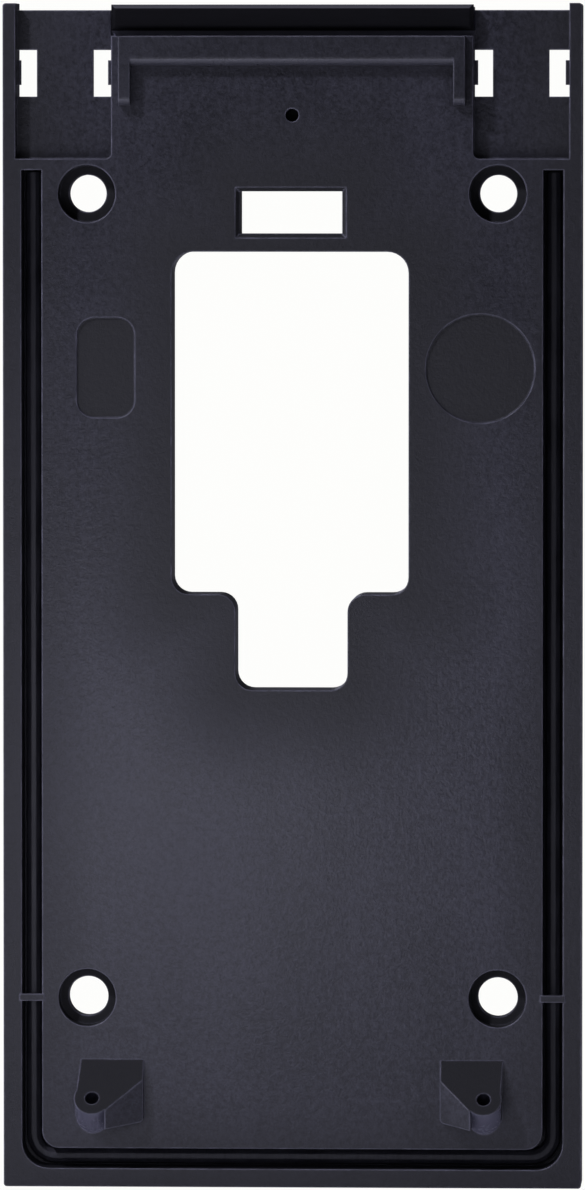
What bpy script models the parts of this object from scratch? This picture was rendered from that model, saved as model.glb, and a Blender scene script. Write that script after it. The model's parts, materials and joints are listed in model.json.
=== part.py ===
"""Wall-mounting back plate of a video door station.

The plate stands upright against a wall. The wall is the plane Y = 0 and the front faces -Y, with +X to
the right and +Z up. The origin is the centre of the wall fixing pattern, on the wall. A height is a
distance from the wall towards the front, so a point at height h has y = -h. Everything is in metres.
"""
from math import acos, ceil, cos, pi, radians, sin, tan

import bmesh
import bpy
from mathutils import Vector

# Moulded plate, outside
PLATE_WIDTH = 0.0845
PLATE_LENGTH = 0.1730
PLATE_DEPTH = 0.0090
PLATE_CORNER_RADIUS = 0.00045
SHEET = 0.0022          # thickness of the front sheet, hollow behind
INNER_WALL = 0.0016     # walls that stand on the back of the sheet
RIB = 0.0012            # stiffening ribs
RIB_SETBACK = 0.0008    # ribs stop short of the wall
EMBED = 0.0002          # how far one shape reaches into the next so that they join
OVERCUT = 0.0010        # how far a cutter runs past the face that it cuts

# Groove along both sides and the bottom, with the rubber cord in it
RIM = 0.0027
GROOVE_WIDTH = 0.00295
GROOVE_FLOOR = 0.0026
GROOVE_TOP = 0.0622
GROOVE_OUTER_RADIUS = 0.0039
GROOVE_INNER_RADIUS = 0.0025
BRIDGE_HEIGHT = 0.0001  # how proud the bridges stand
BRIDGE_DEPTH = 0.0014
BRIDGE_WIDTH = 0.00105
BRIDGE_LAP = 0.00035
CORD_DIAMETER = 0.0023
GAP = 0.0003            # between separate pieces that touch

# Sockets in the two top corners
SIDE_WALL = 0.00185
SOCKET_INNER_X = 0.0264
SOCKET_BOTTOM = 0.06385
SOCKET_FLOOR = 0.0065
SOCKET_FLOOR_SHEET = 0.0020
SOCKET_TOP = 0.0855
SOCKET_TOP_WALL = 0.0015
SLOT_OUTER_WIDTH = 0.0030
SLOT_INNER_WIDTH = 0.0028
SLOT_BOTTOM = 0.0729
SLOT_TOP = 0.0797
SOCKET_CORNER_RADIUS = 0.0009
LUG_BOTTOM = 0.0746
LUG_TOP = 0.0782
LUG_PROUD = 0.0006

# Ledge along the top edge, with the rubber strip on it
LEDGE_BOTTOM = 0.08175
LEDGE_TOP = 0.0860
LEDGE_HEIGHT = 0.0060
LEDGE_SHEET = 0.0025
STRIP_BOTTOM = 0.0825
STRIP_TOP = 0.0863
STRIP_HEIGHT = 0.0093
STRIP_ROUNDING = 0.0008

# Hanger that carries the station
HANGER_HALF_WIDTH = 0.02525
HANGER_TOP = 0.0817
HANGER_BAR_BOTTOM = 0.0774
HANGER_ARM_BOTTOM = 0.0716
HANGER_ARM_WIDTH = 0.0017
HANGER_PROUD = 0.0024
HANGER_ROUNDING = 0.0013
HANGER_FACETS = 6
HANGER_LIP_BOTTOM = 0.0802
HANGER_LIP_GAP = 0.0010
PEG_SPACING = 0.0133
PEG_Z = 0.0786          # in the foot of the crossbar, below its lip
PEG_RADIUS = 0.0008
PEG_HEAD_RADIUS = 0.00125
PEG_HEAD_LENGTH = 0.0010
PEG_HOLE_RADIUS = PEG_RADIUS + GAP

# Openings through the sheet
CABLE_LEFT = -0.0176
CABLE_RIGHT = 0.0170
CABLE_TOP = 0.0503
CABLE_SHOULDER = 0.0003
CABLE_TOP_RADIUS = 0.0031
CABLE_RADIUS = 0.0025
NECK_LEFT = -0.0083
NECK_RIGHT = 0.0081
NECK_BOTTOM = -0.0137
WINDOW_LEFT = -0.0077
WINDOW_RIGHT = 0.0073
WINDOW_BOTTOM = 0.0529
WINDOW_TOP = 0.0591
WINDOW_CHAMFER = 0.0006
VENT_RADIUS = 0.00095
VENT_Z = 0.0702
VENT_FLOOR = 0.0030
VENT_TUBE_RADIUS = 0.0022
VENT_TUBE_BACK = 0.0015

# Shallow seats in the front face
SEAT_DEPTH = 0.0004
OBLONG_SEAT_X = (-0.03145, -0.0230)
OBLONG_SEAT_Z = (0.0261, 0.0407)
OBLONG_SEAT_RADIUS = 0.0026
ROUND_SEAT_CENTRE = (0.02745, 0.0333)
ROUND_SEAT_RADIUS = 0.00795

# Wall fixing holes
FIXING_X = 0.0300
FIXING_Z = 0.05875
SCREW_HEAD_RADIUS = 0.00420
SCREW_HEAD_SEAT = 0.0056
SCREW_SHANK_RADIUS = {-1: 0.00290, 1: 0.00272}  # of the bottom pair and the top pair
SCREW_RELIEF_RADIUS = 0.0038
SCREW_RELIEF_TOP = 0.0032
SCREW_TUBE_RADIUS = 0.0050

# Tilted screw bosses near the bottom. The left one stands a little further out than the right one.
BOSS_X = {-1: -0.0291, 1: 0.0281}
BOSS_TILT = radians(33)
BOSS_FACE_TOP = -0.0678  # where the sloping face leaves the sheet
BOSS_MOUTH_Z = -0.0732
BOSS_RADIUS = 0.00265
BOSS_LENGTH = 0.0090
BOSS_TOP_OUTER_X = 0.0309
PILOT_RADIUS = 0.00100
PILOT_DEPTH = 0.0075

# Gusset beside each boss: upright sides, and a face that rises towards the boss
GUSSET_INNER_X = 0.0217
GUSSET_BOTTOM_Z = (-0.0768, -0.0777)   # at its inner side and inside the boss
GUSSET_CORNER_RADIUS = 0.0007
GUSSET_RIDGE_Z = (-0.0706, -0.0749)    # where its face meets the ramp, at the same two places
GUSSET_END = 0.0019  # from the boss's axis to the gusset's end inside the boss

# Stiffening ribs
RIB_X = (-0.0178, -0.0089, 0.0089, 0.0178)
RIB_Z = (-0.0460, -0.0140, 0.0180, 0.0513)

ARC_STEP = radians(15)
ROUND_SIDES = 40

HALF_WIDTH = PLATE_WIDTH / 2
HALF_LENGTH = PLATE_LENGTH / 2
GROOVE_OUTER_X = HALF_WIDTH - RIM
FIELD_X = GROOVE_OUTER_X - GROOVE_WIDTH
FIELD_BOTTOM = -HALF_LENGTH + RIM + GROOVE_WIDTH
SOCKET_OUTER_X = HALF_WIDTH - SIDE_WALL
HOLLOW_X = FIELD_X - INNER_WALL
HOLLOW_BOTTOM = FIELD_BOTTOM + INNER_WALL
HOLLOW_HEIGHT = PLATE_DEPTH - SHEET
FORWARD = Vector((0, -1, 0))
BOSS_AXIS = Vector((0, -cos(BOSS_TILT), sin(BOSS_TILT)))
BOSS_MOUTH_HEIGHT = PLATE_DEPTH + (BOSS_FACE_TOP - BOSS_MOUTH_Z) * tan(BOSS_TILT)


def clear_scene():
    for leftover in list(bpy.data.objects):
        bpy.data.objects.remove(leftover, do_unlink=True)


def make_material(name, color, roughness):
    material = bpy.data.materials.new(name)
    material.use_nodes = True
    shader = material.node_tree.nodes["Principled BSDF"]
    shader.inputs["Base Color"].default_value = (*color, 1.0)
    shader.inputs["Roughness"].default_value = roughness
    shader.inputs["Metallic"].default_value = 0.0
    return material


def make_object(name, bm, collection):
    """Turn a bmesh into an object whose flat faces stay flat and whose round ones are smooth."""
    bmesh.ops.recalc_face_normals(bm, faces=bm.faces)
    mesh = bpy.data.meshes.new(name)
    bm.to_mesh(mesh)
    bm.free()
    mesh.shade_smooth()
    mesh.set_sharp_from_angle(angle=radians(35))
    shape = bpy.data.objects.new(name, mesh)
    collection.objects.link(shape)
    return shape


def make_tool_collection(name):
    """A collection for shapes that only cut or build up another one."""
    collection = bpy.data.collections.new(name)
    bpy.context.scene.collection.children.link(collection)
    return collection


def hide_tools(collection):
    for shape in collection.objects:
        shape.hide_render = True
        shape.display_type = "WIRE"


def add_boolean(target, operation, collection):
    hide_tools(collection)
    modifier = target.modifiers.new(collection.name, "BOOLEAN")
    modifier.operation = operation
    modifier.operand_type = "COLLECTION"
    modifier.collection = collection
    modifier.solver = "EXACT"


def arc_corner(before, corner, after, radius):
    """Points of the arc of the given radius that rounds one corner of an outline."""
    if radius <= 0:
        return [corner]
    to_before = (before - corner).normalized()
    to_after = (after - corner).normalized()
    half_angle = acos(max(-1.0, min(1.0, to_before.dot(to_after)))) / 2
    centre = corner + (to_before + to_after).normalized() * (radius / sin(half_angle))
    start = corner + to_before * (radius / tan(half_angle)) - centre
    end = corner + to_after * (radius / tan(half_angle)) - centre
    sweep = start.angle_signed(end)
    steps = ceil(abs(sweep) / ARC_STEP)
    points = []
    for step in range(steps + 1):
        turn = -sweep * step / steps
        x = start.x * cos(turn) - start.y * sin(turn)
        z = start.x * sin(turn) + start.y * cos(turn)
        points.append(centre + Vector((x, z)))
    return points


def rounded(corners):
    """Closed outline from (x, z, radius) corners."""
    outline = []
    for index, (x, z, radius) in enumerate(corners):
        before = Vector(corners[index - 1][:2])
        after = Vector(corners[(index + 1) % len(corners)][:2])
        outline += arc_corner(before, Vector((x, z)), after, radius)
    return outline


def rectangle(x_range, z_range, radius=0.0):
    low_x, high_x = x_range
    low_z, high_z = z_range
    return rounded([(low_x, low_z, radius), (high_x, low_z, radius),
                    (high_x, high_z, radius), (low_x, high_z, radius)])


def circle(x, z, radius):
    points = []
    for side in range(ROUND_SIDES):
        angle = 2 * pi * side / ROUND_SIDES
        points.append(Vector((x + radius * cos(angle), z + radius * sin(angle))))
    return points


def loft(name, low_outline, low, high_outline, high, collection):
    """Solid between two outlines with the same number of points, at two heights from the wall."""
    bm = bmesh.new()
    back = [bm.verts.new((point.x, -low, point.y)) for point in low_outline]
    front = [bm.verts.new((point.x, -high, point.y)) for point in high_outline]
    bm.faces.new(back)
    bm.faces.new(front)
    for index in range(len(back)):
        bm.faces.new((back[index - 1], back[index], front[index], front[index - 1]))
    return make_object(name, bm, collection)


def prism(name, outline, low, high, collection):
    return loft(name, outline, low, outline, high, collection)


def add_cylinder(bm, mouth, axis, length, radius):
    """Cylinder with its end face centred on the mouth; it runs from there against the axis."""
    turn = axis.to_track_quat("Z", "Y").to_matrix().to_4x4()
    turn.translation = mouth - axis * (length / 2)
    bmesh.ops.create_cone(bm, cap_ends=True, segments=ROUND_SIDES, radius1=radius,
                          radius2=radius, depth=length, matrix=turn)


def cylinder(name, mouth, axis, length, radius, collection):
    bm = bmesh.new()
    add_cylinder(bm, mouth, axis, length, radius)
    return make_object(name, bm, collection)


def keep_below(bm, point, normal):
    """Cut a convex solid with a plane, and keep the side that the normal points away from."""
    geometry = bm.verts[:] + bm.edges[:] + bm.faces[:]
    cut = bmesh.ops.bisect_plane(bm, geom=geometry, plane_co=point, plane_no=normal, clear_outer=True)
    edges = [item for item in cut["geom_cut"] if isinstance(item, bmesh.types.BMEdge)]
    bmesh.ops.holes_fill(bm, edges=edges)


def convex_block(name, x_range, z_range, h_range, planes, collection):
    """Block between the given limits, cut back by each (point, outward normal) plane."""
    bm = bmesh.new()
    bmesh.ops.create_cube(bm, size=1.0)
    for vert in bm.verts:
        vert.co.x = x_range[0] if vert.co.x < 0 else x_range[1]
        vert.co.y = -h_range[0] if vert.co.y > 0 else -h_range[1]
        vert.co.z = z_range[0] if vert.co.z < 0 else z_range[1]
    for point, normal in planes:
        keep_below(bm, point, normal)
    return make_object(name, bm, collection)


def mirrored_range(side, near, far):
    """The span from near to far on the right (side 1) or its mirror image on the left (side -1)."""
    return tuple(sorted((side * near, side * far)))


def cable_outline(grow):
    """Wide cable opening with a narrower neck below it, grown outwards by the given amount."""
    left, right = CABLE_LEFT - grow, CABLE_RIGHT + grow
    neck_left, neck_right = NECK_LEFT - grow, NECK_RIGHT + grow
    top = CABLE_TOP + grow
    shoulder = CABLE_SHOULDER - grow
    bottom = NECK_BOTTOM - grow
    outside = CABLE_RADIUS + grow
    inside = CABLE_RADIUS - grow
    return rounded([(left, top, CABLE_TOP_RADIUS + grow), (left, shoulder, outside),
                    (neck_left, shoulder, inside), (neck_left, bottom, outside),
                    (neck_right, bottom, outside), (neck_right, shoulder, inside),
                    (right, shoulder, outside), (right, top, CABLE_TOP_RADIUS + grow)])


def window_outline(grow):
    return rectangle((WINDOW_LEFT - grow, WINDOW_RIGHT + grow),
                     (WINDOW_BOTTOM - grow, WINDOW_TOP + grow))


def socket_outline(side, top):
    """A corner socket, whose corner next to the bottom of the middle bar is rounded."""
    inner, outer = side * SOCKET_INNER_X, side * SOCKET_OUTER_X
    return rounded([(outer, top, 0), (outer, SOCKET_BOTTOM, 0),
                    (inner, SOCKET_BOTTOM, SOCKET_CORNER_RADIUS), (inner, top, 0)])


def groove_outline():
    bottom = -HALF_LENGTH + RIM
    return rounded([(-GROOVE_OUTER_X, GROOVE_TOP, 0), (-GROOVE_OUTER_X, bottom, GROOVE_OUTER_RADIUS),
                    (GROOVE_OUTER_X, bottom, GROOVE_OUTER_RADIUS), (GROOVE_OUTER_X, GROOVE_TOP, 0),
                    (FIELD_X, GROOVE_TOP, 0), (FIELD_X, FIELD_BOTTOM, GROOVE_INNER_RADIUS),
                    (-FIELD_X, FIELD_BOTTOM, GROOVE_INNER_RADIUS), (-FIELD_X, GROOVE_TOP, 0)])


def hollow_out_back(collection):
    """Spaces behind the front sheet, the socket floors and the ledge."""
    prism("field_hollow", rectangle((-HOLLOW_X, HOLLOW_X), (HOLLOW_BOTTOM, GROOVE_TOP)),
          -OVERCUT, HOLLOW_HEIGHT, collection)
    centre_x = SOCKET_INNER_X - INNER_WALL
    prism("head_hollow", rectangle((-centre_x, centre_x), (GROOVE_TOP - OVERCUT, LEDGE_BOTTOM - INNER_WALL)),
          -OVERCUT, HOLLOW_HEIGHT, collection)
    prism("ledge_hollow", rectangle((-centre_x, centre_x),
                                    (LEDGE_BOTTOM - INNER_WALL - OVERCUT, LEDGE_TOP - SOCKET_TOP_WALL)),
          -OVERCUT, LEDGE_HEIGHT - LEDGE_SHEET, collection)
    for side in (-1, 1):
        x_range = mirrored_range(side, SOCKET_INNER_X, SOCKET_OUTER_X)
        prism("socket_hollow", rectangle(x_range, (SOCKET_BOTTOM, SOCKET_TOP - SOCKET_TOP_WALL)),
              -OVERCUT, SOCKET_FLOOR - SOCKET_FLOOR_SHEET, collection)


def shape_front(collection):
    """Sockets, the ledge along the top and the groove, all cut from the front."""
    above = HALF_LENGTH + OVERCUT
    front = PLATE_DEPTH + OVERCUT
    for side in (-1, 1):
        x_range = mirrored_range(side, SOCKET_INNER_X, SOCKET_OUTER_X)
        prism("socket", socket_outline(side, above), SOCKET_FLOOR, front, collection)
        prism("socket_notch", rectangle(x_range, (SOCKET_TOP, above)), -OVERCUT, front, collection)
    ledge_x = (-SOCKET_INNER_X - EMBED, SOCKET_INNER_X + EMBED)
    prism("ledge", rectangle(ledge_x, (LEDGE_BOTTOM, above)), LEDGE_HEIGHT, front, collection)
    prism("ledge_notch", rectangle(ledge_x, (LEDGE_TOP, above)), -OVERCUT, front, collection)
    prism("groove", groove_outline(), GROOVE_FLOOR, front, collection)


def add_ribs(collection):
    reach = HOLLOW_HEIGHT + EMBED
    for x in RIB_X:
        prism("long_rib", rectangle((x - RIB / 2, x + RIB / 2),
                                    (HOLLOW_BOTTOM - EMBED, LEDGE_BOTTOM - INNER_WALL + EMBED)),
              RIB_SETBACK, reach, collection)
    for z in RIB_Z:
        prism("cross_rib", rectangle((-HOLLOW_X - EMBED, HOLLOW_X + EMBED), (z - RIB / 2, z + RIB / 2)),
              RIB_SETBACK, reach, collection)
    prism("cable_wall", cable_outline(INNER_WALL), 0.0, reach, collection)
    prism("window_wall", window_outline(RIB), RIB_SETBACK, reach, collection)


def add_screw_tubes(collection):
    for x in (-FIXING_X, FIXING_X):
        for z in (-FIXING_Z, FIXING_Z):
            prism("screw_tube", circle(x, z, SCREW_TUBE_RADIUS), 0.0, HOLLOW_HEIGHT + EMBED, collection)
    prism("vent_tube", circle(0.0, VENT_Z, VENT_TUBE_RADIUS), VENT_TUBE_BACK, HOLLOW_HEIGHT + EMBED,
          collection)


def add_bridges(collection):
    """Two small bridges that hold the cord down in the groove."""
    top = PLATE_DEPTH + BRIDGE_HEIGHT
    z_range = (-FIXING_Z - BRIDGE_WIDTH / 2, -FIXING_Z + BRIDGE_WIDTH / 2)
    for side in (-1, 1):
        x_range = mirrored_range(side, FIELD_X - BRIDGE_LAP, GROOVE_OUTER_X + BRIDGE_LAP)
        prism("bridge", rectangle(x_range, z_range), PLATE_DEPTH - BRIDGE_DEPTH, top, collection)


def add_lugs(collection):
    """Snap lugs on both side walls of each socket, inside its slots."""
    floor_back = SOCKET_FLOOR - SOCKET_FLOOR_SHEET
    for side in (-1, 1):
        outer = mirrored_range(side, SOCKET_OUTER_X - LUG_PROUD, SOCKET_OUTER_X + EMBED)
        inner = mirrored_range(side, SOCKET_INNER_X - EMBED, SOCKET_INNER_X + LUG_PROUD)
        for x_range in (outer, inner):
            prism("lug", rectangle(x_range, (LUG_BOTTOM, LUG_TOP)), floor_back, SOCKET_FLOOR, collection)


def boss_mouth(side):
    return Vector((BOSS_X[side], -BOSS_MOUTH_HEIGHT, BOSS_MOUTH_Z))


def face_height(z):
    """Height of the bosses' sloping face above the plate's back."""
    return PLATE_DEPTH + (BOSS_FACE_TOP - z) * tan(BOSS_TILT)


def plane_through(a, b, c, outward):
    """The (point, normal) plane of three points, with its normal on the outward side."""
    normal = (b - a).cross(c - a).normalized()
    return a, normal if normal.dot(outward) > 0 else -normal


def add_ramp(side, collection):
    """Wedge above the boss that ends in the sloping face. Its outer side runs out to the boss."""
    inner = BOSS_X[side] - side * (GUSSET_END + EMBED)
    outer = BOSS_X[side] + side * (BOSS_RADIUS - EMBED)
    top = Vector((side * BOSS_TOP_OUTER_X, 0, BOSS_FACE_TOP))
    bottom = Vector((outer, 0, BOSS_MOUTH_Z))
    below_mouth = (boss_mouth(side), Vector((0, -sin(BOSS_TILT), -cos(BOSS_TILT))))
    outer_side = plane_through(top, bottom, top + FORWARD, Vector((side, 0, 0)))
    x_range = tuple(sorted((inner, outer + side * BOSS_RADIUS)))
    convex_block("boss_ramp", x_range, (GUSSET_BOTTOM_Z[1], BOSS_FACE_TOP + RIM),
                 (PLATE_DEPTH - SHEET / 2, face_height(GUSSET_BOTTOM_Z[1])),
                 ((boss_mouth(side), BOSS_AXIS), below_mouth, outer_side), collection)


def add_gusset(side, collection):
    """Block beside the boss, cut off by the ramp's plane and by a face that rises towards the boss."""
    near, far = side * GUSSET_INNER_X, BOSS_X[side] - side * GUSSET_END
    near_ridge, far_ridge = GUSSET_RIDGE_Z
    near_bottom, far_bottom = GUSSET_BOTTOM_Z
    top = BOSS_FACE_TOP + RIM
    outline = rounded([(near, top, 0), (near, near_bottom, GUSSET_CORNER_RADIUS),
                       (far, far_bottom, 0), (far, top, 0)])
    ridge = [Vector((near, -face_height(near_ridge), near_ridge)),
             Vector((far, -face_height(far_ridge), far_ridge))]
    face = plane_through(*ridge, ridge[0] + Vector((0, 0, -1)), FORWARD)
    block = prism("boss_gusset", outline, PLATE_DEPTH - SHEET / 2, face_height(far_bottom), collection)
    bm = bmesh.new()
    bm.from_mesh(block.data)
    keep_below(bm, boss_mouth(side), BOSS_AXIS)
    keep_below(bm, *face)
    bm.to_mesh(block.data)
    bm.free()


def add_bosses(collection):
    """Tilted tubes, each with a ramp above it and a gusset beside it."""
    for side in (-1, 1):
        cylinder("boss_tube", boss_mouth(side), BOSS_AXIS, BOSS_LENGTH, BOSS_RADIUS, collection)
        add_ramp(side, collection)
        add_gusset(side, collection)


def cut_openings(collection):
    front = PLATE_DEPTH + OVERCUT
    prism("cable_opening", cable_outline(0.0), -OVERCUT, front, collection)
    prism("window", window_outline(0.0), -OVERCUT, front, collection)
    loft("window_chamfer", window_outline(0.0), PLATE_DEPTH - WINDOW_CHAMFER,
         window_outline(2 * WINDOW_CHAMFER), PLATE_DEPTH + WINDOW_CHAMFER, collection)
    prism("vent", circle(0.0, VENT_Z, VENT_RADIUS), VENT_FLOOR, front, collection)
    for index in (-1, 0, 1):
        prism("peg_hole", circle(index * PEG_SPACING, PEG_Z, PEG_HOLE_RADIUS),
              HOLLOW_HEIGHT - OVERCUT, front, collection)
    for side in (-1, 1):
        outer = mirrored_range(side, SOCKET_OUTER_X - SLOT_OUTER_WIDTH, SOCKET_OUTER_X)
        inner = mirrored_range(side, SOCKET_INNER_X, SOCKET_INNER_X + SLOT_INNER_WIDTH)
        for x_range in (outer, inner):
            prism("slot", rectangle(x_range, (SLOT_BOTTOM, SLOT_TOP)), -OVERCUT,
                  SOCKET_FLOOR + OVERCUT, collection)


def cut_seats(collection):
    front = PLATE_DEPTH + OVERCUT
    prism("oblong_seat", rectangle(OBLONG_SEAT_X, OBLONG_SEAT_Z, OBLONG_SEAT_RADIUS),
          PLATE_DEPTH - SEAT_DEPTH, front, collection)
    prism("round_seat", circle(*ROUND_SEAT_CENTRE, ROUND_SEAT_RADIUS),
          PLATE_DEPTH - SEAT_DEPTH, front, collection)


def cut_screw_holes(collection):
    for x in (-FIXING_X, FIXING_X):
        for end, shank_radius in SCREW_SHANK_RADIUS.items():
            z = end * FIXING_Z
            prism("screw_head_seat", circle(x, z, SCREW_HEAD_RADIUS), SCREW_HEAD_SEAT,
                  PLATE_DEPTH + OVERCUT, collection)
            prism("screw_hole", circle(x, z, shank_radius), -OVERCUT, PLATE_DEPTH, collection)
            prism("screw_relief", circle(x, z, SCREW_RELIEF_RADIUS), -OVERCUT, SCREW_RELIEF_TOP, collection)
    for side in (-1, 1):
        start = boss_mouth(side) + BOSS_AXIS * OVERCUT
        cylinder("pilot_hole", start, BOSS_AXIS, PILOT_DEPTH + OVERCUT, PILOT_RADIUS, collection)


def build_back_plate():
    scene_collection = bpy.context.scene.collection
    outline = rectangle((-HALF_WIDTH, HALF_WIDTH), (-HALF_LENGTH, HALF_LENGTH), PLATE_CORNER_RADIUS)
    plate = prism("back_plate", outline, 0.0, PLATE_DEPTH, scene_collection)
    spaces = make_tool_collection("plate_spaces")
    hollow_out_back(spaces)
    shape_front(spaces)
    add_boolean(plate, "DIFFERENCE", spaces)
    features = make_tool_collection("plate_features")
    add_ribs(features)
    add_screw_tubes(features)
    add_bridges(features)
    add_bosses(features)
    add_boolean(plate, "UNION", features)
    openings = make_tool_collection("plate_openings")
    cut_openings(openings)
    cut_seats(openings)
    cut_screw_holes(openings)
    add_boolean(plate, "DIFFERENCE", openings)
    lugs = make_tool_collection("plate_lugs")
    add_lugs(lugs)
    add_boolean(plate, "UNION", lugs)
    plate.data.materials.append(make_material("moulded_plastic", (0.030, 0.030, 0.034), 0.55))
    return plate


def rounding_planes(bottom, front):
    """Facets that round a bar's lower front edge, as (point, outward normal) planes."""
    centre = Vector((0, HANGER_ROUNDING - front, bottom + HANGER_ROUNDING))
    step = pi / 2 / HANGER_FACETS
    planes = []
    for index in range(HANGER_FACETS):
        angle = (index + 0.5) * step
        normal = Vector((0, -cos(angle), -sin(angle)))
        planes.append((centre + normal * HANGER_ROUNDING * cos(step / 2), normal))
    return planes


def build_hanger():
    """Raised rail that the station hangs on, held by heat-staked pegs through the sheet."""
    scene_collection = bpy.context.scene.collection
    back = PLATE_DEPTH + GAP
    front = PLATE_DEPTH + HANGER_PROUD
    inner = HANGER_HALF_WIDTH - HANGER_ARM_WIDTH
    hanger = convex_block("hanger_rail", (-inner - EMBED, inner + EMBED), (HANGER_BAR_BOTTOM, HANGER_TOP),
                          (back, front), rounding_planes(HANGER_BAR_BOTTOM, front), scene_collection)
    arms = make_tool_collection("hanger_arms")
    for side in (-1, 1):
        convex_block("arm", mirrored_range(side, inner, HANGER_HALF_WIDTH), (HANGER_ARM_BOTTOM, HANGER_TOP),
                     (back, front), rounding_planes(HANGER_ARM_BOTTOM, front), arms)
    add_boolean(hanger, "UNION", arms)
    gaps = make_tool_collection("hanger_gap")
    prism("lip_gap", rectangle((-inner, inner), (HANGER_LIP_BOTTOM, HANGER_TOP + OVERCUT)),
          PLATE_DEPTH, back + HANGER_LIP_GAP, gaps)
    add_boolean(hanger, "DIFFERENCE", gaps)
    pegs = make_tool_collection("hanger_pegs")
    head_front = HOLLOW_HEIGHT - GAP
    for index in (-1, 0, 1):
        x = index * PEG_SPACING
        prism("peg", circle(x, PEG_Z, PEG_RADIUS), head_front - PEG_HEAD_LENGTH, back + GAP, pegs)
        loft("peg_head", circle(x, PEG_Z, PEG_RADIUS), head_front - PEG_HEAD_LENGTH,
             circle(x, PEG_Z, PEG_HEAD_RADIUS), head_front, pegs)
    add_boolean(hanger, "UNION", pegs)
    hanger.data.materials.append(make_material("hanger_plastic", (0.032, 0.032, 0.036), 0.50))
    return hanger


def build_top_strip():
    """Rubber strip on the ledge along the top edge, rounded along its front."""
    outline = rectangle((-SOCKET_INNER_X, SOCKET_INNER_X), (STRIP_BOTTOM, STRIP_TOP))
    strip = prism("top_strip_seal", outline, LEDGE_HEIGHT + GAP, STRIP_HEIGHT, bpy.context.scene.collection)
    bm = bmesh.new()
    bm.from_mesh(strip.data)
    front = [edge for edge in bm.edges if all(abs(vert.co.y + STRIP_HEIGHT) < EMBED for vert in edge.verts)]
    bmesh.ops.bevel(bm, geom=front, offset=STRIP_ROUNDING, segments=4, profile=0.5, affect="EDGES")
    bm.to_mesh(strip.data)
    bm.free()
    strip.data.materials.append(make_material("strip_rubber", (0.008, 0.008, 0.010), 0.75))
    return strip


def build_groove_cord():
    """Rubber cord of round section that lies on the floor of the groove."""
    x = FIELD_X + GROOVE_WIDTH / 2
    bottom = FIELD_BOTTOM - GROOVE_WIDTH / 2
    top = GROOVE_TOP - GAP
    radius = (GROOVE_OUTER_RADIUS + GROOVE_INNER_RADIUS) / 2
    left = arc_corner(Vector((-x, top)), Vector((-x, bottom)), Vector((x, bottom)), radius)
    right = arc_corner(Vector((-x, bottom)), Vector((x, bottom)), Vector((x, top)), radius)
    route = [Vector((-x, top)), *left, *right, Vector((x, top))]
    height = GROOVE_FLOOR + GAP + CORD_DIAMETER / 2
    curve = bpy.data.curves.new("groove_cord_seal", "CURVE")
    curve.dimensions = "3D"
    curve.bevel_depth = CORD_DIAMETER / 2
    curve.bevel_resolution = 3
    curve.use_fill_caps = True
    spline = curve.splines.new("POLY")
    spline.points.add(len(route) - 1)
    for point, place in zip(spline.points, route):
        point.co = (place.x, -height, place.y, 1.0)
    cord = bpy.data.objects.new("groove_cord_seal", curve)
    bpy.context.scene.collection.objects.link(cord)
    curve.materials.append(make_material("cord_rubber", (0.010, 0.010, 0.012), 0.60))
    return cord


def main():
    clear_scene()
    build_back_plate()
    build_hanger()
    build_top_strip()
    build_groove_cord()


main()
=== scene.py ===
"""Looks of a wall plate for a video door station: moulded plate, hanging rail, top strip and sealing cord."""

import json
import math

import bmesh
import bpy
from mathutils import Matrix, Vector


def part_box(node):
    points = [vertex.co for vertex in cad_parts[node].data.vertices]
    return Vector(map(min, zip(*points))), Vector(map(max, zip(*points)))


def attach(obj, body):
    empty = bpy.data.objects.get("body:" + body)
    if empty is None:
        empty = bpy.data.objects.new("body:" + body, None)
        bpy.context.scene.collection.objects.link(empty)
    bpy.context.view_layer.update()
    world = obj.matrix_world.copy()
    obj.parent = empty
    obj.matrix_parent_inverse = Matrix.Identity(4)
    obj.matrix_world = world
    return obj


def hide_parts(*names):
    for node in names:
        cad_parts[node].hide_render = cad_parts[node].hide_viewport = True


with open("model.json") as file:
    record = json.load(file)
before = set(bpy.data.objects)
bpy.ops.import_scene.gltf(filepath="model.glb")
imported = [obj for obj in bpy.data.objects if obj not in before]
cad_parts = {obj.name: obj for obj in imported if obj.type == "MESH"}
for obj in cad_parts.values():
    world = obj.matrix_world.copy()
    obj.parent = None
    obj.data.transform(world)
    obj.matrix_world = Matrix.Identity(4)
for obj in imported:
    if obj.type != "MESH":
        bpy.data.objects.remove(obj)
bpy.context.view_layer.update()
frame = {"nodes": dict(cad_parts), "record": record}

# Meshes: lengths in metres, angles in radians
WELD = 2e-6
FLAT_ANGLE = math.radians(1.0)
CURVE_REACH = math.cos(math.radians(30))
SAME_LEVEL = 2e-5

# The plate: its corners, levels measured forward from the wall, and the gap between neighbours
PLATE_LOW, PLATE_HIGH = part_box("back_plate")
SHEET_FRONT = 0.0090
SEAT_LEVEL = 0.0086
LEDGE_LEVEL = 0.0060
GAP = 0.0003

# Screw recesses: their radius, and how far their axis lies inward from the seat's mount
SCREW_RECESS = 0.0046
SEAT_TO_AXIS = 0.0035

# Marks on faces for painted shade: up to 1 the colour darkens and the finish gets duller, and from 1 to 2 it
# turns dark and rough like a recess
SEAT_MARK = 1.0
BOSS_MARK = 1.7
RECESS_MARK = 1.6
SEAT_SHADE = 0.95

# How strongly the rail's lip gets a painted highlight and a smoother finish
LIP_HIGHLIGHT = 0.34

# Painted shade along the rim and round the openings, with a duller finish there too
RIM_START = 0.002
RIM_REACH = 0.0130
RIM_STRENGTH = 0.72
OPENING_SHADE_START = -0.003
OPENING_SHADE_REACH = 0.0190
OPENING_SHADE_STRENGTH = 0.95
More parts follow.
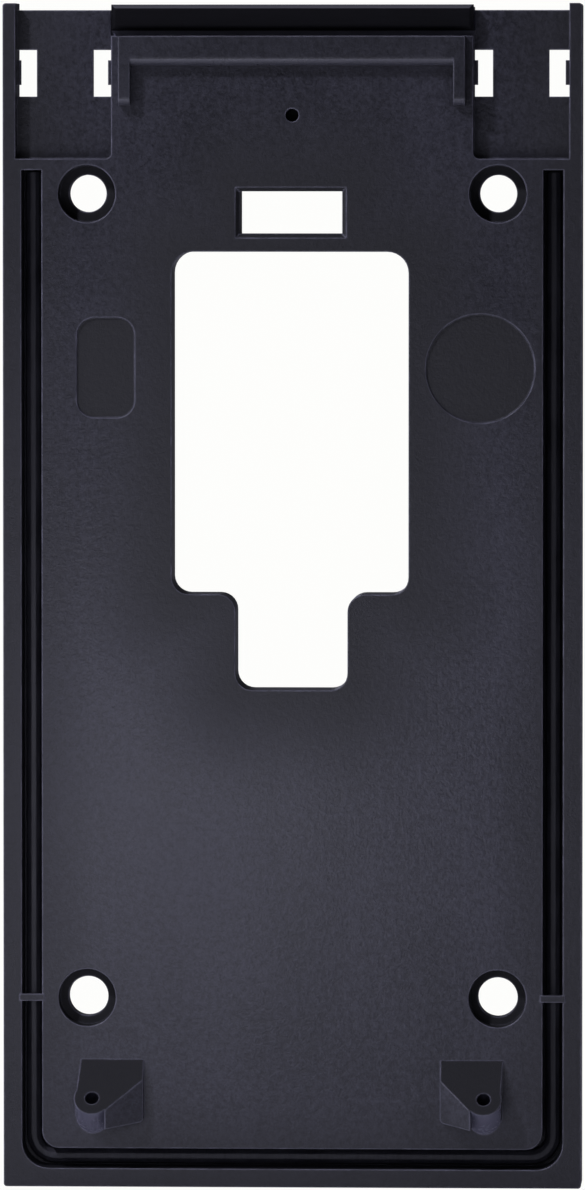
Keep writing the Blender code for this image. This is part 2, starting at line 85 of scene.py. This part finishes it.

# Radius of the eased edges, reach of the shelter test, and the colours that don't follow the piece: painted
# shade, dust and the rubber's painted highlight
EASED_EDGE = 0.00036
EASED_RUBBER = 0.0003
SHELTER_REACH = 0.0010
PAINTED_SHADE_COLOR = (0.0040, 0.0040, 0.0046)
DUST_COLOR = (0.09, 0.09, 0.10)
RUBBER_HIGHLIGHT_COLOR = (0.078, 0.077, 0.082)

# Stage: what the camera sees behind the plate, the studio's slightly blue light, and the floor
CAMERA_WHITE = (0.985, 0.985, 0.97, 1)
STUDIO_WHITE = (0.89, 0.89, 1.09)
WORLD_STRENGTH = 0.04
FLOOR_GLOW = 0.05
FLOOR_HALF = 6.0
FLOOR_DROP = 0.0002

# Camera
CAMERA_PLACE = (0.074, -1.6, 0.0695)
CAMERA_TARGET = Vector((0.00007, -SHEET_FRONT, 0.00024))
SENSOR = 36
VIEW_HEIGHT = 0.17365


# ---------------------------------------------------------------- meshes

def welded_copy(node):
    """The CAD node's mesh as a bmesh with shared corners and whole flat faces."""
    bm = bmesh.new()
    bm.from_mesh(frame["nodes"][node].data)
    bmesh.ops.remove_doubles(bm, verts=bm.verts, dist=WELD)
    bmesh.ops.dissolve_limit(bm, angle_limit=FLAT_ANGLE, verts=bm.verts, edges=bm.edges, delimit=set())
    bmesh.ops.recalc_face_normals(bm, faces=bm.faces)
    bm.faces.layers.float.new("seat")
    bm.faces.layers.float.new("highlight_paint")
    return bm


def mean_normal(faces, toward, least):
    """Area-weighted normal of the faces that point less than an angle away from one direction."""
    total = Vector()
    for face in faces:
        if face.normal.dot(toward) > least:
            total += face.normal * face.calc_area()
    return total.normalized() if total.length > 0 else toward.copy()


def corner_normals(bm):
    """Flat faces stay flat, and the facets of one curve blend."""
    return [mean_normal(loop.vert.link_faces, face.normal, CURVE_REACH)
            for face in bm.faces for loop in face.loops]


def finish_piece(bm, name, node, material):
    """A visible piece from the bmesh, which rides the plate's body and replaces its CAD node."""
    mesh = bpy.data.meshes.new(name)
    normals = corner_normals(bm)
    bm.to_mesh(mesh)
    bm.free()
    mesh.shade_smooth()
    mesh.normals_split_custom_set(normals)
    mesh.materials.append(material)
    piece = bpy.data.objects.new(name, mesh)
    bpy.context.scene.collection.objects.link(piece)
    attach(piece, "root")
    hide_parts(node)
    return piece


# ---------------------------------------------------------------- materials

class Nodes:
    """Short helpers around one material's node tree."""

    def __init__(self, name):
        self.material = bpy.data.materials.new(name)
        self.material.use_nodes = True
        self.tree = self.material.node_tree
        self.shader = self.tree.nodes["Principled BSDF"]
        self.coords = self.tree.nodes.new("ShaderNodeTexCoord").outputs["Object"]

    def node(self, kind, **values):
        node = self.tree.nodes.new(kind)
        for key, value in values.items():
            setattr(node, key, value)
        return node

    def link(self, output, socket):
        self.tree.links.new(output, socket)

    def noise(self, scale, detail=2.0, roughness=0.5, stretch=None):
        node = self.node("ShaderNodeTexNoise")
        node.inputs["Scale"].default_value = scale
        node.inputs["Detail"].default_value = detail
        node.inputs["Roughness"].default_value = roughness
        source = self.coords
        if stretch:
            mapping = self.node("ShaderNodeMapping")
            mapping.inputs["Scale"].default_value = stretch
            self.link(source, mapping.inputs["Vector"])
            source = mapping.outputs["Vector"]
        self.link(source, node.inputs["Vector"])
        return node.outputs["Fac"]

    def rounded(self, radius):
        """Surface direction with every sharp edge eased over by a small radius."""
        node = self.node("ShaderNodeBevel", samples=4)
        node.inputs["Radius"].default_value = radius
        return node.outputs["Normal"]

    def outward_edges(self, eased):
        """1 where the surface turns over an outward edge, 0 on flat ground and in corners."""
        straight = self.node("ShaderNodeNewGeometry").outputs["Normal"]
        node = self.node("ShaderNodeVectorMath", operation="DOT_PRODUCT")
        self.link(eased, node.inputs[0])
        self.link(straight, node.inputs[1])
        turned = self.remap(node.outputs["Value"], 0.994, 0.86, 0.0, 1.0)
        shelter = self.node("ShaderNodeAmbientOcclusion", samples=4)
        shelter.inputs["Distance"].default_value = SHELTER_REACH
        return self.math("MULTIPLY", turned, self.remap(shelter.outputs["AO"], 0.55, 0.80, 0.0, 1.0))

    def attribute(self, name):
        return self.node("ShaderNodeAttribute", attribute_name=name).outputs["Fac"]

    def vector(self, operation, first, second=None):
        node = self.node("ShaderNodeVectorMath", operation=operation)
        self.link(first, node.inputs[0])
        if second is not None:
            node.inputs[1].default_value = second
        return node.outputs["Value" if operation == "LENGTH" else "Vector"]

    def beside_box(self, low, high):
        """Distance from an upright box, measured in the plane of the plate."""
        middle = [(a + b) / 2 for a, b in zip(low, high)]
        half = [(b - a) / 2 for a, b in zip(low, high)]
        place = self.vector("MULTIPLY", self.coords, (1, 0, 1))
        place = self.vector("SUBTRACT", place, (middle[0], 0, middle[2]))
        place = self.vector("SUBTRACT", self.vector("ABSOLUTE", place), (half[0], 0, half[2]))
        return self.vector("LENGTH", self.vector("MAXIMUM", place, (0, 0, 0)))

    def shade_near_openings(self, boxes):
        """Painted shade with a duller finish near openings: most at their edges, and none some way off."""
        nearest = self.beside_box(*boxes[0])
        for box in boxes[1:]:
            nearest = self.math("MINIMUM", nearest, self.beside_box(*box))
        uneven = self.math("ADD", nearest, self.remap(self.noise(60, 2.0), 0.3, 0.7, -0.0008, 0.0008))
        near = self.remap(uneven, OPENING_SHADE_START, OPENING_SHADE_REACH, 1.0, 0.0, "SMOOTHSTEP")
        return self.math("MULTIPLY", near, OPENING_SHADE_STRENGTH)

    def shade_along_rim(self, low, high):
        """Painted shade with a duller finish close to both sides and the bottom of the plate."""
        split = self.node("ShaderNodeSeparateXYZ")
        self.link(self.coords, split.inputs[0])
        across = self.math("ABSOLUTE", split.outputs["X"], 0.0)
        side = self.math("SUBTRACT", (high.x - low.x) / 2, across)
        foot = self.math("SUBTRACT", split.outputs["Z"], low.z)
        nearest = self.math("MINIMUM", side, foot)
        return self.remap(nearest, RIM_START, RIM_REACH, RIM_STRENGTH, 0.0)

    def specks(self, scale, size):
        """1 inside small round specks, 0 elsewhere."""
        node = self.node("ShaderNodeTexVoronoi")
        node.inputs["Scale"].default_value = scale
        self.link(self.coords, node.inputs["Vector"])
        return self.remap(node.outputs["Distance"], size, 0.0, 0.0, 1.0)

    def remap(self, value, low, high, to_low, to_high, shape="LINEAR"):
        node = self.node("ShaderNodeMapRange", clamp=True, interpolation_type=shape)
        for name, number in (("From Min", low), ("From Max", high), ("To Min", to_low), ("To Max", to_high)):
            node.inputs[name].default_value = number
        self.link(value, node.inputs["Value"])
        return node.outputs["Result"]

    def math(self, operation, first, second):
        """Result of an operation on two values, each an output or a number."""
        node = self.node("ShaderNodeMath", operation=operation)
        for socket, value in zip(node.inputs, (first, second)):
            if isinstance(value, (int, float)):
                socket.default_value = value
            else:
                self.link(value, socket)
        return node.outputs["Value"]

    def weighted(self, *parts):
        """Sum of (value, share) pairs."""
        total = None
        for value, share in parts:
            scaled = self.math("MULTIPLY", value, share)
            total = scaled if total is None else self.math("ADD", total, scaled)
        return total

    def ramp(self, value, stops):
        node = self.node("ShaderNodeValToRGB")
        elements = node.color_ramp.elements
        while len(elements) < len(stops):
            elements.new(0.5)
        for element, (place, color) in zip(elements, stops):
            element.position = place
            element.color = (*color, 1.0)
        self.link(value, node.inputs["Fac"])
        return node.outputs["Color"]

    def mix(self, factor, first, second):
        """Blend of two colours, each an output or a tuple."""
        node = self.node("ShaderNodeMix", data_type="RGBA")
        self.link(factor, node.inputs["Factor"])
        for name, value in (("A", first), ("B", second)):
            socket = [item for item in node.inputs if item.name == name and item.type == "RGBA"][0]
            if isinstance(value, tuple):
                socket.default_value = (*value, 1.0)
            else:
                self.link(value, socket)
        return [item for item in node.outputs if item.type == "RGBA"][0]

    def bump(self, height, strength, distance, below=None):
        node = self.node("ShaderNodeBump")
        node.inputs["Strength"].default_value = strength
        node.inputs["Distance"].default_value = distance
        self.link(height, node.inputs["Height"])
        if below:
            self.link(below, node.inputs["Normal"])
        return node.outputs["Normal"]


def shade_and_dullness(n, openings):
    """Painted shade with a duller finish round the openings, along the rim and on marked faces, and how far
    marked faces turn to painted shade, dark and rough like a recess.
    """
    mark = n.attribute("seat")
    shade_and_dull = n.math("MULTIPLY", n.math("MINIMUM", mark, 1.0), SEAT_SHADE)
    if openings:
        shade_and_dull = n.math("MAXIMUM", shade_and_dull, n.shade_near_openings(openings))
        shade_and_dull = n.math("MAXIMUM", shade_and_dull, n.shade_along_rim(PLATE_LOW, PLATE_HIGH))
    return shade_and_dull, n.remap(mark, 1.0, 2.0, 0.0, 1.0)


def textured_plastic(name, dark, light, roughness, specular, grain, openings=()):
    """Spark-eroded black plastic: fine grain, faint flow blotches, worn edges with a painted highlight,
    painted shade and painted highlights on marked places, a few dust specks.
    """
    n = Nodes(name)
    eased = n.rounded(EASED_EDGE)
    blotch = n.noise(38, 3.0, 0.55)
    flow = n.noise(90, 2.0, 0.5, stretch=(1.0, 1.0, 0.22))
    fine = n.noise(grain, 3.0, 0.6)
    coarse = n.noise(grain * 0.40, 3.0, 0.6)
    shade_and_dull, recess_shade = shade_and_dullness(n, openings)
    painted_highlight = n.attribute("highlight_paint")
    wear_and_highlight = n.math("MULTIPLY", n.outward_edges(eased), n.remap(n.noise(420, 3.0, 0.6), 0.40, 0.70, 0.40, 1.0))
    dust = n.math("MULTIPLY", n.specks(260, 0.040), n.remap(n.noise(150), 0.55, 0.75, 0.0, 0.25))

    tone = n.weighted((blotch, 0.18), (flow, 0.14), (coarse, 0.34), (fine, 0.34))
    color = n.ramp(tone, [(0.42, dark), (0.58, light)])
    # Painted shade: darker round the openings, along the rim, on seats, boss faces and screw recesses
    color = n.mix(n.math("MAXIMUM", shade_and_dull, recess_shade), color, PAINTED_SHADE_COLOR)
    # Painted highlight on the marked faces
    color = n.mix(n.math("MULTIPLY", painted_highlight, 0.85), color, tuple(4.2 * part + 0.012 for part in light))
    # Edge wear with a painted highlight along the outward edges
    color = n.mix(wear_and_highlight, color, tuple(6.0 * part + 0.055 for part in light))
    n.link(n.mix(dust, color, DUST_COLOR), n.shader.inputs["Base Color"])

    sheen = n.remap(n.weighted((blotch, 0.6), (coarse, 0.4)), 0.3, 0.7, roughness - 0.04, roughness + 0.05)
    rough = n.weighted((sheen, 1.0), (shade_and_dull, 0.16), (recess_shade, 0.45),
                       (painted_highlight, -0.15), (wear_and_highlight, -0.08), (dust, 0.3))
    n.link(rough, n.shader.inputs["Roughness"])
    n.shader.inputs["Specular IOR Level"].default_value = specular
    coarse_bump = n.bump(coarse, 0.7, 0.00007, eased)
    n.link(n.bump(fine, 0.7, 0.00005, coarse_bump), n.shader.inputs["Normal"])
    return n.material


def rubber(name, dark, light, roughness, specular, stretch):
    """Soft black rubber with fine drag lines along its length, a dusty bloom and a painted highlight on
    marked faces.
    """
    n = Nodes(name)
    eased = n.rounded(EASED_RUBBER)
    bloom = n.noise(120, 3.0, 0.6)
    lines = n.noise(2600, 2.0, 0.5, stretch=stretch)
    pores = n.noise(5200, 2.0, 0.6)
    color = n.ramp(n.weighted((bloom, 0.6), (lines, 0.4)), [(0.38, dark), (0.66, light)])
    # Painted highlight on the marked faces
    color = n.mix(n.math("MULTIPLY", n.attribute("highlight_paint"), 0.9), color, RUBBER_HIGHLIGHT_COLOR)
    scuffed = n.math("MULTIPLY", n.outward_edges(eased), n.remap(n.noise(700, 2.0), 0.45, 0.75, 0.1, 0.8))
    color = n.mix(scuffed, color, tuple(1.8 * part + 0.004 for part in light))
    n.link(color, n.shader.inputs["Base Color"])
    n.link(n.remap(bloom, 0.3, 0.7, roughness - 0.06, roughness + 0.08), n.shader.inputs["Roughness"])
    n.shader.inputs["Specular IOR Level"].default_value = specular
    drag = n.bump(lines, 0.25, 0.00003, eased)
    n.link(n.bump(pores, 0.25, 0.00002, drag), n.shader.inputs["Normal"])
    return n.material


# ---------------------------------------------------------------- pieces

def mark_painted_shade(bm):
    """Mark the shallow seats, boss faces and screw recesses for painted shade and a rougher finish."""
    seat = bm.faces.layers.float["seat"]
    screws = [item["pos_m"] for item in frame["record"]["mounts"] if item["name"].startswith("screw_seat")]
    axes = [(math.copysign(abs(place[0]) - SEAT_TO_AXIS, place[0]), place[2]) for place in screws]
    for face in bm.faces:
        middle = face.calc_center_median()
        if face.normal.y < -0.99 and abs(-middle.y - SEAT_LEVEL) < SAME_LEVEL:
            face[seat] = SEAT_MARK
        if face.normal.z > 0.1 and face.normal.y < -0.6 and middle.y < -SHEET_FRONT - GAP:
            face[seat] = BOSS_MARK
        for x, z in axes:
            beside = max(math.hypot(vert.co.x - x, vert.co.z - z) for vert in face.verts)
            if beside < SCREW_RECESS and middle.y > -SEAT_LEVEL:
                face[seat] = RECESS_MARK


def mark_painted_highlights(bm, wanted):
    """Mark faces that get a painted highlight and a smoother finish."""
    highlight_paint = bm.faces.layers.float["highlight_paint"]
    for face in bm.faces:
        face[highlight_paint] = wanted(face)


def plate_highlight(face):
    """Painted highlight on the round lower sides of the boss tubes, and painted light on the shaded ledge
    under the top strip.
    """
    normal = face.normal
    middle = face.calc_center_median()
    on_tube = middle.y < -SHEET_FRONT - GAP and normal.z < -0.3 and normal.y > -0.95
    on_ledge = normal.y < -0.99 and abs(-middle.y - LEDGE_LEVEL) < SAME_LEVEL
    return 1.0 if on_tube or on_ledge else 0.0


def lip_highlight(face):
    """Painted highlight on the rounded lower front of the rail."""
    return LIP_HIGHLIGHT if face.normal.y < -0.2 and face.normal.z < -0.15 else 0.0


def strip_highlight(face):
    """Painted highlight on the top edge of the strip."""
    return 1.0 if face.normal.z > 0.25 and face.normal.y < 0.1 else 0.0


def build_plate():
    bm = welded_copy("back_plate")
    mark_painted_shade(bm)
    mark_painted_highlights(bm, plate_highlight)
    openings = [item["box_m"] for item in frame["record"]["physics"]["openings"]]
    material = textured_plastic("black textured plastic", (0.0070, 0.0070, 0.0105),
                                (0.0300, 0.0296, 0.0398), 0.36, 0.50, 3000, openings)
    return finish_piece(bm, "plate_moulding", "back_plate", material)


def build_hanger():
    """The rail, with its back face brought down onto the sheet so that no gap shows."""
    bm = welded_copy("hanger_rail")
    for vert in bm.verts:
        if abs(-vert.co.y - SHEET_FRONT - GAP) < SAME_LEVEL:
            vert.co.y = -SHEET_FRONT
    mark_painted_highlights(bm, lip_highlight)
    material = textured_plastic("black hanger plastic", (0.0085, 0.0087, 0.0115),
                                (0.0225, 0.0225, 0.0290), 0.34, 0.50, 3400)
    return finish_piece(bm, "hanging_rail", "hanger_rail", material)


def build_strip():
    bm = welded_copy("top_strip_seal")
    mark_painted_highlights(bm, strip_highlight)
    material = rubber("black strip rubber", (0.0016, 0.0016, 0.0022), (0.0036, 0.0035, 0.0046),
                      0.70, 0.12, (0.08, 1.0, 1.0))
    return finish_piece(bm, "top_strip", "top_strip_seal", material)


def build_cord():
    bm = welded_copy("groove_cord_seal")
    material = rubber("black cord rubber", (0.0140, 0.0140, 0.0175), (0.0380, 0.0377, 0.0450),
                      0.42, 0.4, (1.0, 1.0, 0.08))
    return finish_piece(bm, "sealing_cord", "groove_cord_seal", material)


# ---------------------------------------------------------------- stage

def build_floor():
    """A pale floor that the camera sees as plain white."""
    bm = bmesh.new()
    bmesh.ops.create_grid(bm, x_segments=8, y_segments=8, size=FLOOR_HALF)
    mesh = bpy.data.meshes.new("floor")
    bm.to_mesh(mesh)
    bm.free()
    floor = bpy.data.objects.new("floor", mesh)
    floor.location = (0, 0, PLATE_LOW.z - FLOOR_DROP)
    bpy.context.scene.collection.objects.link(floor)
    n = Nodes("pale floor")
    n.link(n.ramp(n.noise(3.0), [(0.4, (0.86, 0.86, 0.855)), (0.6, (0.90, 0.90, 0.895))]),
           n.shader.inputs["Base Color"])
    n.link(n.remap(n.noise(60), 0.3, 0.7, 0.75, 0.85), n.shader.inputs["Roughness"])
    n.shader.inputs["Specular IOR Level"].default_value = 0.2
    n.link(n.bump(n.noise(900), 0.05, 0.0001), n.shader.inputs["Normal"])
    glow = n.node("ShaderNodeEmission")
    glow.inputs["Color"].default_value = CAMERA_WHITE
    n.shader.inputs["Emission Color"].default_value = (*STUDIO_WHITE, 1)
    n.shader.inputs["Emission Strength"].default_value = FLOOR_GLOW
    shown = n.node("ShaderNodeMixShader")
    n.link(n.node("ShaderNodeLightPath").outputs["Is Camera Ray"], shown.inputs["Fac"])
    n.link(n.shader.outputs["BSDF"], shown.inputs[1])
    n.link(glow.outputs["Emission"], shown.inputs[2])
    n.link(shown.outputs["Shader"], n.tree.nodes["Material Output"].inputs["Surface"])
    mesh.materials.append(n.material)


def aim(obj, target):
    obj.rotation_euler = (Vector(target) - obj.location).to_track_quat("-Z", "Y").to_euler()


def area_light(name, place, size, power, target=(0, 0, 0)):
    light = bpy.data.lights.new(name, "AREA")
    light.energy = power
    light.size = size
    light.color = STUDIO_WHITE
    lamp = bpy.data.objects.new(name, light)
    lamp.location = place
    lamp.visible_camera = False
    aim(lamp, target)
    bpy.context.scene.collection.objects.link(lamp)


def build_world():
    """Faint light from all round, in front of a plain white background."""
    world = bpy.data.worlds.new("studio")
    bpy.context.scene.world = world
    world.use_nodes = True
    tree = world.node_tree
    seen = tree.nodes.new("ShaderNodeLightPath").outputs["Is Camera Ray"]
    glow = tree.nodes["Background"]
    glow.inputs["Color"].default_value = (*STUDIO_WHITE, 1)
    glow.inputs["Strength"].default_value = WORLD_STRENGTH
    white = tree.nodes.new("ShaderNodeBackground")
    white.inputs["Strength"].default_value = 1.0
    white.inputs["Color"].default_value = CAMERA_WHITE
    mixed = tree.nodes.new("ShaderNodeMixShader")
    tree.links.new(seen, mixed.inputs["Fac"])
    tree.links.new(glow.outputs["Background"], mixed.inputs[1])
    tree.links.new(white.outputs["Background"], mixed.inputs[2])
    tree.links.new(mixed.outputs["Shader"], tree.nodes["World Output"].inputs["Surface"])


def build_camera():
    """A long lens far off, whose frame is filled by the plate's height."""
    camera = bpy.data.cameras.new("camera")
    view = bpy.data.objects.new("camera", camera)
    bpy.context.scene.collection.objects.link(view)
    view.location = CAMERA_PLACE
    aim(view, CAMERA_TARGET)
    camera.sensor_width = SENSOR
    camera.sensor_fit = "AUTO"
    camera.lens = SENSOR * (CAMERA_TARGET - view.location).length / VIEW_HEIGHT
    camera.clip_start = 0.05
    camera.clip_end = 50
    bpy.context.scene.camera = view


build_plate()
build_hanger()
build_strip()
build_cord()
build_floor()
build_world()
area_light("key", (-0.500, -0.590, 0.670), 0.07, 5.5)
area_light("front left", (-0.423, -0.906, 0.02), 0.35, 0.30)
area_light("low patch", (-0.025, -0.162, -0.035), 0.06, 0.031, (-0.012, 0, -0.026))
area_light("left edge", (-0.60, -0.05, 0.06), 0.40, 0.9)
area_light("top edge", (-0.10, -0.035, 0.60), 0.40, 0.6)
area_light("right edge", (0.70, 0.22, 0.25), 0.40, 0.8)
area_light("back fill", (-0.45, 0.85, 0.40), 0.50, 2.5)
build_camera()
bpy.context.scene.view_settings.view_transform = "Standard"
